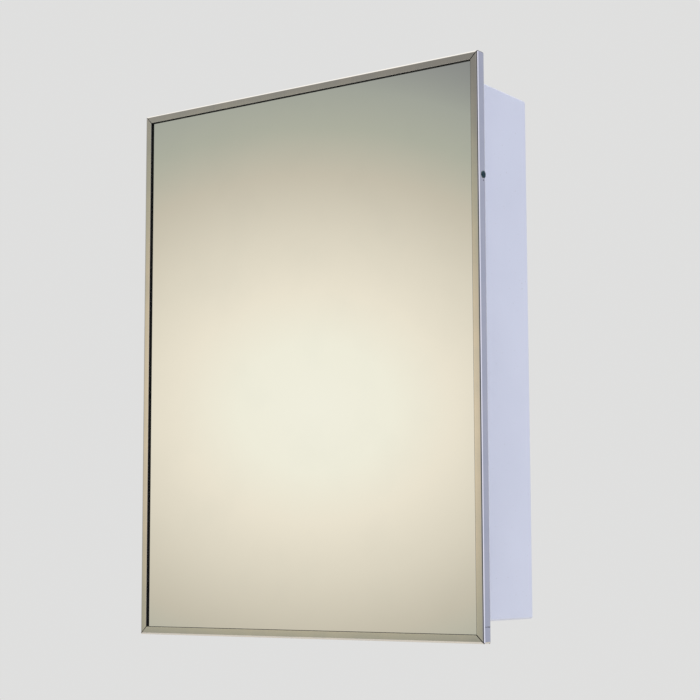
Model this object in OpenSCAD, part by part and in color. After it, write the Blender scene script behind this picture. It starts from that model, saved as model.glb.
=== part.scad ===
// Medicine cabinet with a mirrored door: a folded sheet-steel casing, a door in a polished
// channel frame on a continuous hinge, a magnetic catch and three lift-out glass shelves.
// Origin at the centre of the casing's back face, +X right, +Y into the wall, +Z up.

/* [Casing] */
// Width of the casing over its side panels
case_w = 383; // [320:1:600]
// Height of the casing over its top and bottom panels
case_h = 521; // [430:1:760]
// Depth of the casing from the wall to its front flanges
case_d = 112.5; // [94:0.5:200]
// Thickness of the casing's sheet steel
case_t = 0.9; // [0.7:0.05:1.1]
// Outside radius of the casing's folds
case_bend = 2.4; // [2.3:0.1:4]
// Width of the flanges folded in round each casing panel
flange_w = 10; // [8:0.5:13]
// Distance of the wall screw holes from the casing's sides
mount_side = 39; // [20:0.5:60]
// Distance of the wall screw holes from the casing's top and bottom
mount_end = 60.5; // [20:0.5:90]
// Radius of the wall screw holes
mount_r = 3; // [2:0.25:4]

/* [Door] */
// How far the door stands past the casing on every side
door_lap = 19; // [17:0.5:30]
// Thickness of the door over its frame
door_t = 13; // [12.5:0.5:20]
// Gap between the door's frame and the casing's front flanges
door_gap = 1.5; // [1.5:0.1:3]
// Thickness of the frame's channel steel
frame_t = 0.8; // [0.6:0.1:1]
// Outside radius of the frame's folds
frame_bend = 2; // [1.5:0.1:2.5]
// Width of the frame's front flange
frame_front_w = 8; // [6:0.5:16]
// Width of the frame's back flange
frame_back_w = 10; // [10:0.5:12]
// Open width of the mitre at each corner of the frame
mitre_gap = 0.8; // [0.2:0.1:1]
// Height of the tabs that the frame's bottom member turns up at its ends
tab_h = 15; // [10:0.5:25]
// Open width of the seam above each tab
seam_gap = 0.7; // [0.2:0.1:1]
// Depth of the mirror's face behind the frame's face
mirror_set = 2.4; // [1.5:0.1:3]
// Thickness of the mirror glass
mirror_t = 3; // [3:0.5:5]
// Room between the edge of the mirror and the inside of the frame
mirror_room = 1.4; // [1.2:0.1:2.5]
// Thickness of the board behind the mirror
board_t = 3; // [2:0.5:3.5]
// Thickness of the door pan's sheet steel
pan_t = 0.8; // [0.6:0.1:1]
// Distance of the frame's side screws below the door's top
frame_screw_drop = 119.5; // [60:0.5:200]
// Distance of the frame's side screws behind the frame's face
frame_screw_set = 8.6; // [8.5:0.1:9.5]
// Radius of the frame's side screw heads
frame_head_r = 3.6; // [3:0.1:4]

/* [Hinge] */
// Radius of the hinge pin
pin_r = 1.5; // [1.2:0.1:2]
// Thickness of the hinge's leaves
leaf_t = 1; // [0.8:0.1:1.2]
// Width of each leaf from the pin's axis
leaf_w = 12; // [11.5:0.5:13]
// Length of one knuckle with its gap
knuckle_l = 12.5; // [10:0.5:20]
// Length of casing left free above and below the hinge
hinge_end = 10; // [6:1:30]
// Number of fasteners along each leaf
leaf_fasteners = 8; // [4:1:12]

/* [Shelves] */
// Thickness of the glass shelves
shelf_t = 5; // [4:0.5:6]
// Depth of the glass shelves, front to back
shelf_d = 90; // [70:1:92]
// Distance of the shelves' front edges behind the casing's front
shelf_set = 16; // [14:1:20]
// Corner radius of the shelves
shelf_corner = 4; // [1:0.5:10]
// Distance from one slot of a shelf standard to the next
slot_pitch = 25; // [16:1:40]
// Width of a shelf standard
std_w = 14; // [12:0.5:20]
// Depth of a shelf standard
std_d = 4; // [4:0.5:8]
// Distance of a standard's middle from the shelf's nearer edge
std_inset = 18; // [12:1:25]
// Length of the tongue of a shelf clip
tongue_l = 10; // [6:0.5:16]

/* [Catch] */
// Distance of the magnetic catch's middle below the casing's top
catch_drop = 97.5; // [80:0.5:160]
// Length of the magnet, up and down
magnet_l = 30; // [20:1:40]
// Thickness of the magnet
magnet_t = 5; // [4:0.5:6]
// Depth of the magnet, front to back
magnet_d = 10; // [8:0.5:14]
// Thickness of the pole plates and of the catch case's walls
pole_t = 1.2; // [1:0.1:1.5]
// Thickness of the strike plate
strike_t = 1.5; // [1:0.1:1.5]

/* [Hidden] */
$fn = 48;
// Clearances: parts that only lie together, a running pin, a door stop, a thread
lie_gap = 0.05;
run_gap = 0.05;
stop_gap = 0.1;
slip_gap = 0.5;
// A cut runs past the surface that it opens by this much
over = 1;

// Door outline and its planes along Y, from its face to its back
door_w = case_w + 2 * door_lap;
door_h = case_h + 2 * door_lap;
door_back = -case_d - door_gap;
door_face = door_back - door_t;
mirror_face = door_face + mirror_set;
mirror_back = mirror_face + mirror_t;
pack_front = mirror_back + lie_gap;
board_back = pack_front + board_t;
pan_back = door_back - frame_t;
pan_front = pan_back - pan_t;
// Distance from the door's edge to the edge of the glass and the pan, and to the board
board_room = 1.5;
glass_edge = frame_t + mirror_room;
board_edge = glass_edge + pan_t + board_room;

// Casing planes
web_in = case_w / 2 - case_t;
lap_in = case_t + lie_gap;
case_front = -case_d;
rim_back = -2 * lap_in;
rim_inset = case_bend + stop_gap;
field_w = case_w - 2 * (flange_w + slip_gap);
field_h = case_h - 2 * (flange_w + slip_gap);

// Hinge, its pin standing outside the casing's left face
bore_r = pin_r + run_gap;
barrel_r = bore_r + leaf_t;
pin_x = -case_w / 2 - barrel_r;
pin_y = door_back + barrel_r;
knuckles = 2 * floor((case_h - 2 * hinge_end) / knuckle_l / 2);
hinge_l = knuckles * knuckle_l;
knuckle_gap = 0.3;
leaf_hole_edge = 3;
leaf_hole_u = leaf_w - leaf_hole_edge;
leaf_hole_step = hinge_l / leaf_fasteners;
leaf_shank_r = 1.5;
leaf_head_r = 2.6;
rivet_head_h = 0.8;
rivet_tail_h = 1.2;
rivet_tail_r = 2.2;

// Shelves, standards and clips
shelf_count = 3;
shelf_step = slot_pitch * round(case_h / (shelf_count + 1) / slot_pitch);
shelf_room = 1;
shelf_w = 2 * (web_in - std_d - shelf_room);
shelf_front = case_front + shelf_set;
std_t = 0.9;
std_end = 26;
std_l = case_h - 2 * std_end;
std_front_y = shelf_front + std_inset;
std_rear_y = shelf_front + shelf_d - std_inset;
slot_w = 6;
slot_h = 6;
slot_drop = 4.5;
slots_half = floor((std_l / 2 - slot_h) / slot_pitch);
clip_t = 1.2;
clip_w = 10;
clip_h = 11;
hook_h = 2;
hook_drop = 3;

// Catch, standing in a notch of the right side's front flange
catch_room = 0.3;
catch_z = case_h / 2 - catch_drop;
catch_x = case_w / 2 - case_bend - catch_room;
catch_w = magnet_t + 4 * pole_t;
catch_l = magnet_l + 2 * pole_t;
catch_mid_x = catch_x - catch_w / 2;
strike_back = pan_back + strike_t;
pole_front = strike_back + stop_gap;
pole_proud = 0.7;
catch_wall = 3;
catch_front = pole_front + pole_proud;
catch_back = pole_front + magnet_d + catch_wall;
ear_l = 11;
ear_t = 2.4;
catch_screw_off = catch_l / 2 + ear_l / 2;
catch_shank_r = 1.4;
catch_head_r = 2.5;
catch_head_h = 0.9;
catch_head_slope = 0.5;
strike_side = 3;
strike_end = 1;
strike_w = catch_w + 2 * strike_side;
strike_l = catch_l + 2 * strike_end;
strike_rivet_end = 5;
strike_rivet_z = strike_l / 2 - strike_rivet_end;
strike_rivet_r = 1.6;
strike_tail_r = 2.4;

// Screws: how far a shank runs past what it holds, the depth of a driver recess as a share of
// its head, and the length and width of the recess's arms as shares of the head's radius
screw_past = 2;
recess_depth = 0.7;
flush_recess_depth = 0.6;
recess_arm_l = 1.1;
recess_arm_w = 0.26;

// Frame screws, corner angles, bead, pads and door bumpers
frame_screw_y = door_face + frame_screw_set;
frame_screw_z = door_h / 2 - frame_screw_drop;
frame_shank_r = 1.6;
frame_head_h = 0.9;
frame_shank_past = 1;
frame_shank_l = frame_t + mirror_room + pan_t + frame_shank_past;
pit_r = 0.7;
pit_drop = 5.6;
angle_t = 0.9;
angle_l = 24;
bead_lip = 0.35;
lip_set = 0.1;
pad_w = 18;
pad_side = 100;
pad_end = 60;
bumper_r = 4;
bumper_end = 42;

// Finishes
enamel = [0.90, 0.91, 0.95];
polished = [0.78, 0.77, 0.74];
zinc = [0.66, 0.67, 0.70];
dark_zinc = [0.30, 0.30, 0.32];
black_rubber = [0.08, 0.08, 0.08];
clear_glass = [0.70, 0.86, 0.80];

// A block given by its lowest and highest corners
module block(low, high) {
    translate(low) cube(high - low);
}

// A rectangle centred on the origin with round corners
module rounded(w, h, r) {
    square([w - 2 * r, h], center = true);
    square([w, h - 2 * r], center = true);
    for (x = [-1, 1], y = [-1, 1])
        translate([x * (w / 2 - r), y * (h / 2 - r)]) circle(r);
}

// ---- Casing ----

// The casing's block drawn in by inset, with the folds that run front to back rounded
module fold_along_y(inset) {
    rotate([90, 0, 0]) linear_extrude(case_d - inset)
        rounded(case_w - 2 * inset, case_h - 2 * inset, case_bend - inset);
}

// The same block with the upright folds rounded
module fold_along_z(inset) {
    translate([0, case_front / 2, 0]) linear_extrude(case_h, center = true)
        rounded(case_w - 2 * inset, case_d - 2 * inset, case_bend - inset);
}

// The same block with the folds that run side to side rounded
module fold_along_x(inset) {
    translate([0, case_front / 2, 0]) rotate([90, 0, 90]) linear_extrude(case_w, center = true)
        rounded(case_d - 2 * inset, case_h - 2 * inset, case_bend - inset);
}

// The right side as a pan: a web with four flanges, notched where the flanges would meet
module side_pan() {
    edge_y = case_bend;
    edge_z = case_h / 2 - case_bend;
    difference() {
        intersection() {
            fold_along_y(0);
            fold_along_z(0);
            block([case_w / 2 - flange_w, case_front, -case_h / 2], [case_w / 2, 0, case_h / 2]);
        }
        intersection() {
            fold_along_y(case_t);
            fold_along_z(case_t);
        }
        for (z = [-1, 1], y = [0, case_front])
            translate([case_w / 2 - case_bend - flange_w, y - edge_y,
                z > 0 ? edge_z : -edge_z - over - case_bend])
                cube([flange_w, 2 * edge_y, case_bend + over]);
    }
}

// The top as a pan that lies inside the two sides, notched at its upright corners
module top_pan() {
    notch = case_bend;
    difference() {
        intersection() {
            fold_along_y(lap_in);
            fold_along_x(lap_in);
            block([-case_w / 2, case_front, case_h / 2 - flange_w], [case_w / 2, 0, case_h / 2]);
        }
        intersection() {
            fold_along_y(lap_in + case_t);
            fold_along_x(lap_in + case_t);
        }
        for (x = [-1, 1], y = [0, case_front])
            translate([x * case_w / 2, y, case_h / 2 - flange_w])
                cube([2 * notch, 2 * notch, 2 * (flange_w - notch)], center = true);
    }
}

module left_side() {
    color(enamel) difference() {
        mirror([1, 0, 0]) side_pan();
        at_leaf_fasteners() translate([pin_x, pin_y + leaf_hole_u, 0])
            rotate([0, 90, 0]) cylinder(h = flange_w, r = leaf_shank_r);
    }
}

module right_side() {
    notch_l = catch_l + 2 * slip_gap;
    color(enamel) difference() {
        side_pan();
        block([case_w / 2 - flange_w - over, case_front - over, catch_z - notch_l / 2],
            [case_w / 2 - case_bend, case_front + case_t + over, catch_z + notch_l / 2]);
        at_catch_screws() translate([0, case_front - over, 0])
            rotate([-90, 0, 0]) cylinder(h = flange_w, r = catch_shank_r);
    }
}

module top_panel() {
    color(enamel) top_pan();
}

module bottom_panel() {
    color(enamel) mirror([0, 0, 1]) top_pan();
}

// The back: a rim that lies on the flanges, and a field pressed back level with the wall
module back_panel() {
    rim_w = case_w - 2 * rim_inset;
    rim_h = case_h - 2 * (rim_inset + lap_in);
    front = rim_back - case_t;
    color(enamel) difference() {
        union() {
            block([-rim_w / 2, front, -rim_h / 2], [rim_w / 2, rim_back, rim_h / 2]);
            block([-field_w / 2, front, -field_h / 2], [field_w / 2, 0, field_h / 2]);
        }
        block([-field_w / 2 + case_t, front - over, -field_h / 2 + case_t],
            [field_w / 2 - case_t, -case_t, field_h / 2 - case_t]);
        for (x = [-1, 1], z = [-1, 1])
            translate([x * (case_w / 2 - mount_side), over, z * (case_h / 2 - mount_end)])
                rotate([90, 0, 0]) cylinder(h = case_t + 2 * over, r = mount_r);
    }
}

// ---- Shelf standards and clips ----

// A slotted channel on the right wall, its middle at y
module standard(y) {
    color(zinc) difference() {
        block([web_in - std_d, y - std_w / 2, -std_l / 2], [web_in, y + std_w / 2, std_l / 2]);
        block([web_in - std_d + std_t, y - std_w / 2 + std_t, -std_l / 2 - over],
            [web_in + over, y + std_w / 2 - std_t, std_l / 2 + over]);
        for (k = [-slots_half : slots_half])
            translate([web_in - std_d, y, k * slot_pitch - slot_drop])
                cube([2 * over + std_t, slot_w, slot_h], center = true);
    }
}

module standard_left_front() {
    mirror([1, 0, 0]) standard(std_front_y);
}

module standard_left_rear() {
    mirror([1, 0, 0]) standard(std_rear_y);
}

module standard_right_front() {
    standard(std_front_y);
}

module standard_right_rear() {
    standard(std_rear_y);
}

// A bent clip on the right wall: a tongue under the glass and a hook behind the slot
module clip(y, z) {
    face = web_in - std_d;
    hook_low = z - slot_drop - slot_h / 2 + lie_gap;
    hook_w = slot_w - 2 * slip_gap;
    lip = face + std_t + lie_gap;
    block([face - clip_t - lie_gap, y - clip_w / 2, z - clip_h], [face - lie_gap, y + clip_w / 2, z]);
    block([face - tongue_l, y - clip_w / 2, z - clip_t], [face - clip_t, y + clip_w / 2, z]);
    block([face - clip_t, y - hook_w / 2, hook_low], [lip + clip_t, y + hook_w / 2, hook_low + hook_h]);
    block([lip, y - hook_w / 2, hook_low - hook_drop], [lip + clip_t, y + hook_w / 2, hook_low + hook_h]);
}

// The four clips under the shelf at height z
module clip_set(z) {
    color(zinc) for (side = [0, 1], y = [std_front_y, std_rear_y])
        mirror([side, 0, 0]) clip(y, z - lie_gap);
}

module clips_lower() {
    clip_set(-shelf_step);
}

module clips_middle() {
    clip_set(0);
}

module clips_upper() {
    clip_set(shelf_step);
}

// ---- Magnetic catch ----

// Repeats its children at the two screws of the catch
module at_catch_screws() {
    for (end = [-1, 1])
        translate([catch_mid_x, 0, catch_z + end * catch_screw_off]) children();
}

module catch_case() {
    ear_front = case_front + case_t + lie_gap;
    color("white") translate([catch_mid_x, 0, catch_z]) difference() {
        union() {
            block([-catch_w / 2, catch_front, -catch_l / 2], [catch_w / 2, catch_back, catch_l / 2]);
            block([-catch_w / 2, ear_front, -catch_l / 2 - ear_l],
                [catch_w / 2, ear_front + ear_t, catch_l / 2 + ear_l]);
        }
        block([-magnet_t / 2 - pole_t - lie_gap, catch_front - over, -magnet_l / 2 - lie_gap],
            [magnet_t / 2 + pole_t + lie_gap, pole_front + magnet_d + lie_gap, magnet_l / 2 + lie_gap]);
        for (end = [-1, 1])
            translate([0, case_front, end * catch_screw_off])
                rotate([-90, 0, 0]) cylinder(h = ear_t + 2 * over, r = catch_shank_r);
    }
}

module catch_magnet() {
    color(dark_zinc) translate([catch_mid_x, 0, catch_z])
        block([-magnet_t / 2, catch_front, -magnet_l / 2],
            [magnet_t / 2, pole_front + magnet_d, magnet_l / 2]);
}

module catch_pole_plates() {
    color(zinc) for (side = [0, 1])
        translate([catch_mid_x, 0, catch_z]) mirror([side, 0, 0])
            block([magnet_t / 2, pole_front, -magnet_l / 2],
                [magnet_t / 2 + pole_t, pole_front + magnet_d, magnet_l / 2]);
}

module catch_screws() {
    shank_l = case_t + ear_t + screw_past;
    color(zinc) at_catch_screws() translate([0, case_front, 0]) rotate([-90, 0, 0]) {
        translate([0, 0, -catch_head_h]) difference() {
            cylinder(h = catch_head_h, r1 = catch_head_r - catch_head_slope, r2 = catch_head_r);
            cross_recess(catch_head_r, catch_head_h * recess_depth);
        }
        translate([0, 0, -lie_gap]) cylinder(h = shank_l, r = catch_shank_r - lie_gap);
    }
}

// A cross-shaped driver recess cut up from z = 0 into a head of radius r
module cross_recess(r, depth) {
    for (turn = [0, 90])
        rotate(turn) translate([0, 0, depth / 2 - over / 2])
            cube([recess_arm_l * r, recess_arm_w * r, depth + over], center = true);
}

// Two round rubber pads on the right side's front flange
module door_bumpers() {
    thick = case_front - pan_back - stop_gap;
    color(black_rubber) for (z = [-1, 1])
        translate([case_w / 2 - flange_w / 2 - case_bend / 2, case_front, z * (case_h / 2 - bumper_end)])
            rotate([90, 0, 0]) {
                cylinder(h = thick / 2, r = bumper_r);
                translate([0, 0, thick / 2])
                    cylinder(h = thick / 2, r1 = bumper_r, r2 = bumper_r - thick / 2);
            }
}

// ---- Hinge ----

// Repeats its children at the height of each fastener of a leaf
module at_leaf_fasteners() {
    for (k = [0 : leaf_fasteners - 1])
        translate([0, 0, (k - (leaf_fasteners - 1) / 2) * leaf_hole_step]) children();
}

// A leaf that lies along +X from a pin on the Z axis; first is the lowest knuckle it owns
module leaf(first) {
    difference() {
        union() {
            block([0, barrel_r - leaf_t, -hinge_l / 2], [leaf_w, barrel_r, hinge_l / 2]);
            for (k = [first : 2 : knuckles - 1])
                translate([0, 0, k * knuckle_l - hinge_l / 2]) cylinder(h = knuckle_l, r = barrel_r);
        }
        for (k = [1 - first : 2 : knuckles - 1])
            translate([-barrel_r - over, -barrel_r - over, k * knuckle_l - hinge_l / 2 - knuckle_gap / 2])
                cube([2 * barrel_r + over + knuckle_gap, 2 * (barrel_r + over), knuckle_l + knuckle_gap]);
        cylinder(h = hinge_l + 2 * over, r = bore_r, center = true);
        at_leaf_fasteners() translate([leaf_hole_u, barrel_r + over, 0])
            rotate([90, 0, 0]) cylinder(h = leaf_t + 2 * over, r = leaf_shank_r);
        if (first == 1)
            at_leaf_fasteners() translate([leaf_hole_u, barrel_r - leaf_t, 0])
                rotate([-90, 0, 0]) cylinder(h = leaf_t, r1 = leaf_head_r, r2 = leaf_shank_r);
    }
}

module hinge_body_leaf() {
    color(polished) translate([pin_x, pin_y, 0]) mirror([1, -1, 0]) leaf(0);
}

module hinge_door_leaf() {
    color(polished) translate([pin_x, pin_y, 0]) rotate(180) leaf(1);
}

module hinge_pin() {
    cap_h = 0.8;
    color(zinc) translate([pin_x, pin_y, 0]) {
        cylinder(h = hinge_l, r = pin_r, center = true);
        for (end = [0, 1])
            mirror([0, 0, end]) translate([0, 0, hinge_l / 2])
                cylinder(h = cap_h, r1 = barrel_r, r2 = pin_r);
    }
}

// Rivets through the body leaf and the casing's left side
module hinge_body_rivets() {
    grip = leaf_t + case_t;
    color(zinc) at_leaf_fasteners()
        translate([-case_w / 2 - leaf_t, pin_y + leaf_hole_u, 0]) rotate([0, 90, 0]) {
            translate([0, 0, -rivet_head_h])
                cylinder(h = rivet_head_h, r1 = leaf_head_r - rivet_head_h, r2 = leaf_head_r);
            translate([0, 0, -lie_gap]) cylinder(h = grip + 2 * lie_gap, r = leaf_shank_r);
            translate([0, 0, grip]) cylinder(h = rivet_tail_h, r = rivet_tail_r);
        }
}

// Countersunk screws through the door leaf, the frame's back flange and the pan
module hinge_door_screws() {
    shank_l = leaf_t + frame_t + pan_t + screw_past;
    color(zinc) at_leaf_fasteners()
        translate([pin_x - leaf_hole_u, door_back + leaf_t, 0]) rotate([90, 0, 0]) difference() {
            union() {
                cylinder(h = leaf_t, r1 = leaf_head_r, r2 = leaf_shank_r);
                cylinder(h = shank_l, r = leaf_shank_r);
            }
            cross_recess(leaf_head_r, leaf_t * flush_recess_depth);
        }
}

// ---- Door frame ----

// The channel's section: X inward from the door's edge, Y back from the door's face
module frame_section() {
    difference() {
        intersection() {
            translate([frame_back_w, door_t / 2]) rounded(2 * frame_back_w, door_t, frame_bend);
            square([frame_back_w, door_t]);
        }
        translate([frame_back_w + frame_t, door_t / 2])
            rounded(2 * frame_back_w, door_t - 2 * frame_t, frame_bend - frame_t);
        if (frame_front_w < frame_back_w)
            translate([frame_front_w, -over]) square([frame_back_w, frame_t + 2 * over]);
    }
}

// A member that lies along X with its outer edge at z = 0, mitred at both ends
module frame_member(length) {
    half = length / 2 - mitre_gap / sqrt(2);
    reach = frame_back_w + over;
    intersection() {
        translate([0, door_face, 0]) rotate([0, -90, 0])
            linear_extrude(length, center = true) frame_section();
        translate([0, door_back + over, 0]) rotate([90, 0, 0]) linear_extrude(door_t + 2 * over)
            polygon([[-half, 0], [half, 0], [half - reach, reach], [reach - half, reach]]);
    }
}

// The part of the door's edge between the front and back folds, up to height z_top
module flat_edge(w, h, z_top) {
    block([-w, door_face + frame_bend, -h], [w, door_back - frame_bend, z_top]);
}

module frame_top() {
    color(polished) translate([0, 0, door_h / 2]) rotate([0, 180, 0]) frame_member(door_w);
}

// The bottom member, whose edge turns up at both ends as tabs
module frame_bottom() {
    color(polished) {
        difference() {
            translate([0, 0, -door_h / 2]) frame_member(door_w);
            flat_edge(door_w, door_h, frame_t - door_h / 2);
        }
        intersection() {
            rotate([90, 0, 0]) linear_extrude(-2 * door_face, center = true) difference() {
                rounded(door_w, door_h, frame_bend);
                rounded(door_w - 2 * frame_t, door_h - 2 * frame_t, frame_bend - frame_t);
            }
            flat_edge(door_w, door_h, tab_h - door_h / 2);
        }
    }
}

// An upright member on the left, cut back for the tab, with a screw hole in its edge
module upright() {
    difference() {
        translate([-door_w / 2, 0, 0]) rotate([0, 90, 0]) frame_member(door_h);
        intersection() {
            flat_edge(door_w, door_h, tab_h + seam_gap - door_h / 2);
            translate([-door_w / 2 - over, door_face, -door_h / 2])
                cube([over + frame_t, door_t, door_h]);
        }
        at_frame_screw() cylinder(h = frame_t + 2 * over, r = frame_shank_r, center = true);
        translate([0, 0, -pit_drop]) at_frame_screw() cylinder(h = frame_t, r = pit_r, center = true);
    }
}

module frame_left() {
    color(polished) difference() {
        upright();
        at_leaf_fasteners() translate([pin_x - leaf_hole_u, door_back + over, 0])
            rotate([90, 0, 0]) cylinder(h = frame_t + 2 * over, r = leaf_shank_r);
    }
}

module frame_right() {
    color(polished) mirror([1, 0, 0]) upright();
}

// Places its children at the left frame screw, with Z pointing into the door
module at_frame_screw() {
    translate([-door_w / 2, frame_screw_y, frame_screw_z]) rotate([0, 90, 0]) children();
}

module frame_screws() {
    color(dark_zinc) for (side = [0, 1]) mirror([side, 0, 0]) at_frame_screw() {
        translate([0, 0, -frame_head_h]) difference() {
            cylinder(h = frame_head_h, r1 = frame_head_r - frame_head_h / 2, r2 = frame_head_r);
            cross_recess(frame_head_r, frame_head_h * recess_depth);
        }
        translate([0, 0, -lie_gap]) cylinder(h = frame_shank_l, r = frame_shank_r - lie_gap);
    }
}

// Four angles inside the corners of the frame
module corner_angles() {
    out_w = door_w / 2 - frame_t - lie_gap;
    out_h = door_h / 2 - frame_t - lie_gap;
    near = door_face + frame_bend + lie_gap;
    far = door_back - frame_bend - lie_gap;
    color(zinc) for (x = [0, 1], z = [0, 1]) mirror([x, 0, 0]) mirror([0, 0, z]) {
        block([out_w - angle_l, near, out_h - angle_t], [out_w - frame_bend, far, out_h]);
        block([out_w - angle_t, near, out_h - angle_l], [out_w, far, out_h - frame_bend]);
        translate([out_w - frame_bend, near, out_h - frame_bend]) rotate([-90, 0, 0])
            linear_extrude(far - near) intersection() {
                difference() {
                    circle(frame_bend);
                    circle(frame_bend - angle_t);
                }
                translate([0, -frame_bend]) square(frame_bend);
            }
    }
}

// ---- Mirror, board and door pan ----

// A slab of the door between two planes, its edge set in from the door's edge
module door_slab(edge, front, back) {
    block([edge - door_w / 2, front, edge - door_h / 2], [door_w / 2 - edge, back, door_h / 2 - edge]);
}

module mirror_glass() {
    color([0.80, 0.84, 0.84]) door_slab(glass_edge, mirror_face, mirror_back);
}

// A black bead between the frame's front flange and the glass, with a lip past the flange's edge
module mirror_bead() {
    color(black_rubber) difference() {
        union() {
            door_slab(frame_bend, door_face + frame_t, mirror_face);
            door_slab(frame_front_w, door_face + lip_set, mirror_face);
        }
        door_slab(frame_front_w + bead_lip, door_face, mirror_face + over);
    }
}

module backing_board() {
    color([0.55, 0.42, 0.28]) door_slab(board_edge, pack_front, board_back);
}

// Two foam strips that press the board against the mirror
module pressure_pads() {
    color([0.35, 0.35, 0.36]) for (x = [-1, 1])
        translate([x * pad_side, 0, 0])
            block([-pad_w / 2, board_back, -door_h / 2 + pad_end],
                [pad_w / 2, pan_front, door_h / 2 - pad_end]);
}

module door_pan() {
    color(enamel) difference() {
        door_slab(glass_edge, pack_front, pan_back);
        door_slab(glass_edge + pan_t, pack_front - over, pan_front);
        at_leaf_fasteners() translate([pin_x - leaf_hole_u, door_back, 0])
            rotate([90, 0, 0]) cylinder(h = frame_t + pan_t + over, r = leaf_shank_r);
        at_strike_rivets() cylinder(h = pan_t + 2 * over, r = strike_rivet_r, center = true);
        for (side = [0, 1]) mirror([side, 0, 0]) at_frame_screw()
            cylinder(h = glass_edge + pan_t + over, r = frame_shank_r);
    }
}

// Repeats its children on the strike's rivets at the pan's back, with Z pointing at the mirror
module at_strike_rivets() {
    for (end = [-1, 1])
        translate([catch_mid_x, pan_back, catch_z + end * strike_rivet_z]) rotate([90, 0, 0]) children();
}

module strike_plate() {
    color(zinc) difference() {
        translate([catch_mid_x, 0, catch_z])
            block([-strike_w / 2, pan_back, -strike_l / 2], [strike_w / 2, strike_back, strike_l / 2]);
        at_strike_rivets() cylinder(h = 2 * strike_t + over, r = strike_rivet_r, center = true);
    }
}

// Flush rivets through the strike plate and the pan
module strike_rivets() {
    color(dark_zinc) at_strike_rivets() {
        translate([0, 0, -strike_t]) cylinder(h = strike_t + pan_t + lie_gap, r = strike_rivet_r);
        translate([0, 0, pan_t]) cylinder(h = rivet_tail_h, r = strike_tail_r);
    }
}

// ---- Glass shelves ----

// A shelf whose underside is at height z
module shelf(z) {
    color(clear_glass) translate([0, shelf_front + shelf_d / 2, z]) linear_extrude(shelf_t)
        rounded(shelf_w, shelf_d, shelf_corner);
}

module shelf_lower() {
    shelf(-shelf_step);
}

module shelf_middle() {
    shelf(0);
}

module shelf_upper() {
    shelf(shelf_step);
}

back_panel();
left_side();
right_side();
top_panel();
bottom_panel();
standard_left_front();
standard_left_rear();
standard_right_front();
standard_right_rear();
clips_lower();
clips_middle();
clips_upper();
catch_case();
catch_magnet();
catch_pole_plates();
catch_screws();
door_bumpers();
hinge_body_leaf();
hinge_pin();
hinge_body_rivets();
frame_top();
frame_bottom();
frame_left();
frame_right();
corner_angles();
frame_screws();
mirror_glass();
mirror_bead();
backing_board();
pressure_pads();
door_pan();
hinge_door_leaf();
hinge_door_screws();
strike_plate();
strike_rivets();
shelf_lower();
shelf_middle();
shelf_upper();
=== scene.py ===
import math
import bmesh
import bpy
from mathutils import Matrix, Vector


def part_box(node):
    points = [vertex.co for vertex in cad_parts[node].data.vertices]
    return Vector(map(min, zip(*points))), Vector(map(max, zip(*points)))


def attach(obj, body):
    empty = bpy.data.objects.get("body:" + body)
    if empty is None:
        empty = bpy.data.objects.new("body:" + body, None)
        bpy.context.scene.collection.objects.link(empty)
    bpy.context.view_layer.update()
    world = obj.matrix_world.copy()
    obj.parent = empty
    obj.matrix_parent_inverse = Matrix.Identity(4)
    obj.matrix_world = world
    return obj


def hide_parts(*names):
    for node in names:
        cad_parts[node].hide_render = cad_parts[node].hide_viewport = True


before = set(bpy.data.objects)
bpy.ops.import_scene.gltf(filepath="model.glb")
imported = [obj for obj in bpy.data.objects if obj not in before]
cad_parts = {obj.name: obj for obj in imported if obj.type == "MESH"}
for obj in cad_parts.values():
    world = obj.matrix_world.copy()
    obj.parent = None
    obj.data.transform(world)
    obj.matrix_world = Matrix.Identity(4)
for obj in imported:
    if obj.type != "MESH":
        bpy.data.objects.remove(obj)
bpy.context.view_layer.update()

# ---- Casing sides ----
# The two sides of the casing, each folded from 0.9 mm sheet steel into a shallow pan: a tall web
# with four narrow flanges turned inwards. The right one has a notch in its front flange for the
# magnetic catch. Both are washed and then sprayed and baked in white enamel.

mm = 0.001
sheet_t = 0.9
case_bend = 2.4
flange_w = 10.0
catch_notch = 35.4


def box_of(node_name):
    """The lowest and the highest corner of a CAD node's box, in millimetres."""
    return [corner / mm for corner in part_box(node_name)]


side_low, side_high = box_of("right_side")
case_x = side_high.x
case_z = side_high.z
case_front = side_low.y
catch_low, catch_high = box_of("catch_case")
catch_z = (catch_low.z + catch_high.z) / 2


def folded(corners, bend, thick, steps=6):
    """Pairs of points, on the outer and the inner face, along a strip of sheet that is folded at
    each inner corner of a path in a plane. The sheet's thickness lies to the left of the path."""
    points = [Vector(corner) for corner in corners]
    ways = [(after - before).normalized() for before, after in zip(points, points[1:])]

    def pair(point, way):
        left = Vector((-way.y, way.x))
        return point, point + thick * left

    pairs = [pair(points[0], ways[0])]
    for corner, way, next_way in zip(points[1:], ways, ways[1:]):
        turn = math.atan2(way.cross(next_way), way.dot(next_way))
        side = math.copysign(1, turn)
        radius = bend if turn > 0 else bend - thick
        start = corner - way * radius * math.tan(abs(turn) / 2)
        centre = start + side * radius * Vector((-way.y, way.x))
        for step in range(steps + 1):
            on_way = Matrix.Rotation(turn * step / steps, 2) @ way
            pairs.append(pair(centre - side * radius * Vector((-on_way.y, on_way.x)), on_way))
    pairs.append(pair(points[-1], ways[-1]))
    return pairs


def grid(pairs, rows, place):
    """A patch of sheet: one row of placed point pairs for each value in rows."""
    return [[(place(*outer, row), place(*inner, row)) for outer, inner in pairs] for row in rows]


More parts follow.
